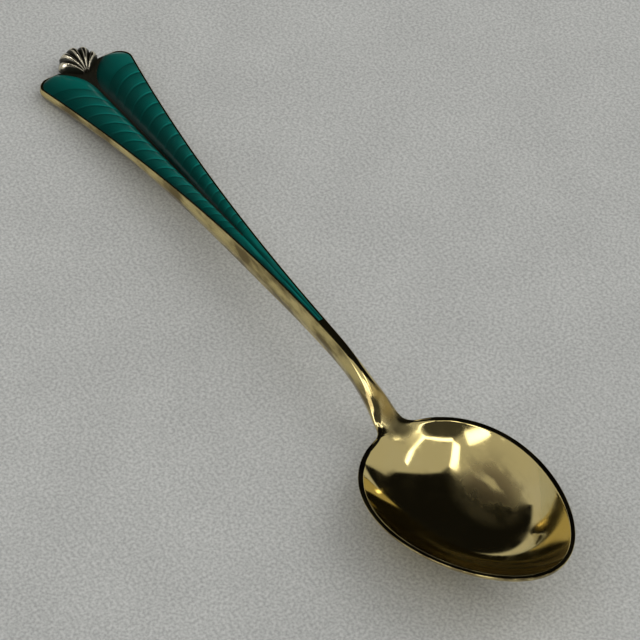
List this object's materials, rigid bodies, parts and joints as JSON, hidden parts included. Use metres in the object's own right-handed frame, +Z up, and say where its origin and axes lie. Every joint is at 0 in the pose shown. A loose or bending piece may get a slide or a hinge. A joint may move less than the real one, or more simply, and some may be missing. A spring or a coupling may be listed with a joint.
{
  "type": "coffee spoon",
  "caption": "Small gilt silver coffee spoon: egg-shaped bowl, slim arched stem, and a flared handle with a ribbed shell between lobes of green engraved enamel.",
  "frame": {"origin": "middle of the spoon's length and width, on the surface that it lies on", "axes": "+X from the handle's shell to the tip of the bowl, +Y across the spoon, +Z up, out of the bowl's hollow"},
  "size_m": [0.098, 0.018, 0.01],
  "materials": {
    "gilt_silver": "polished gilding over silver, pale gold, with dark patina in the struck lines",
    "green_enamel": "glossy translucent teal-green vitreous enamel over engraved waves"
  },
  "bodies": {
    "root": {"spoon_blank": "gilt_silver", "enamel_inlay": "green_enamel"}
  },
  "joints": []
}
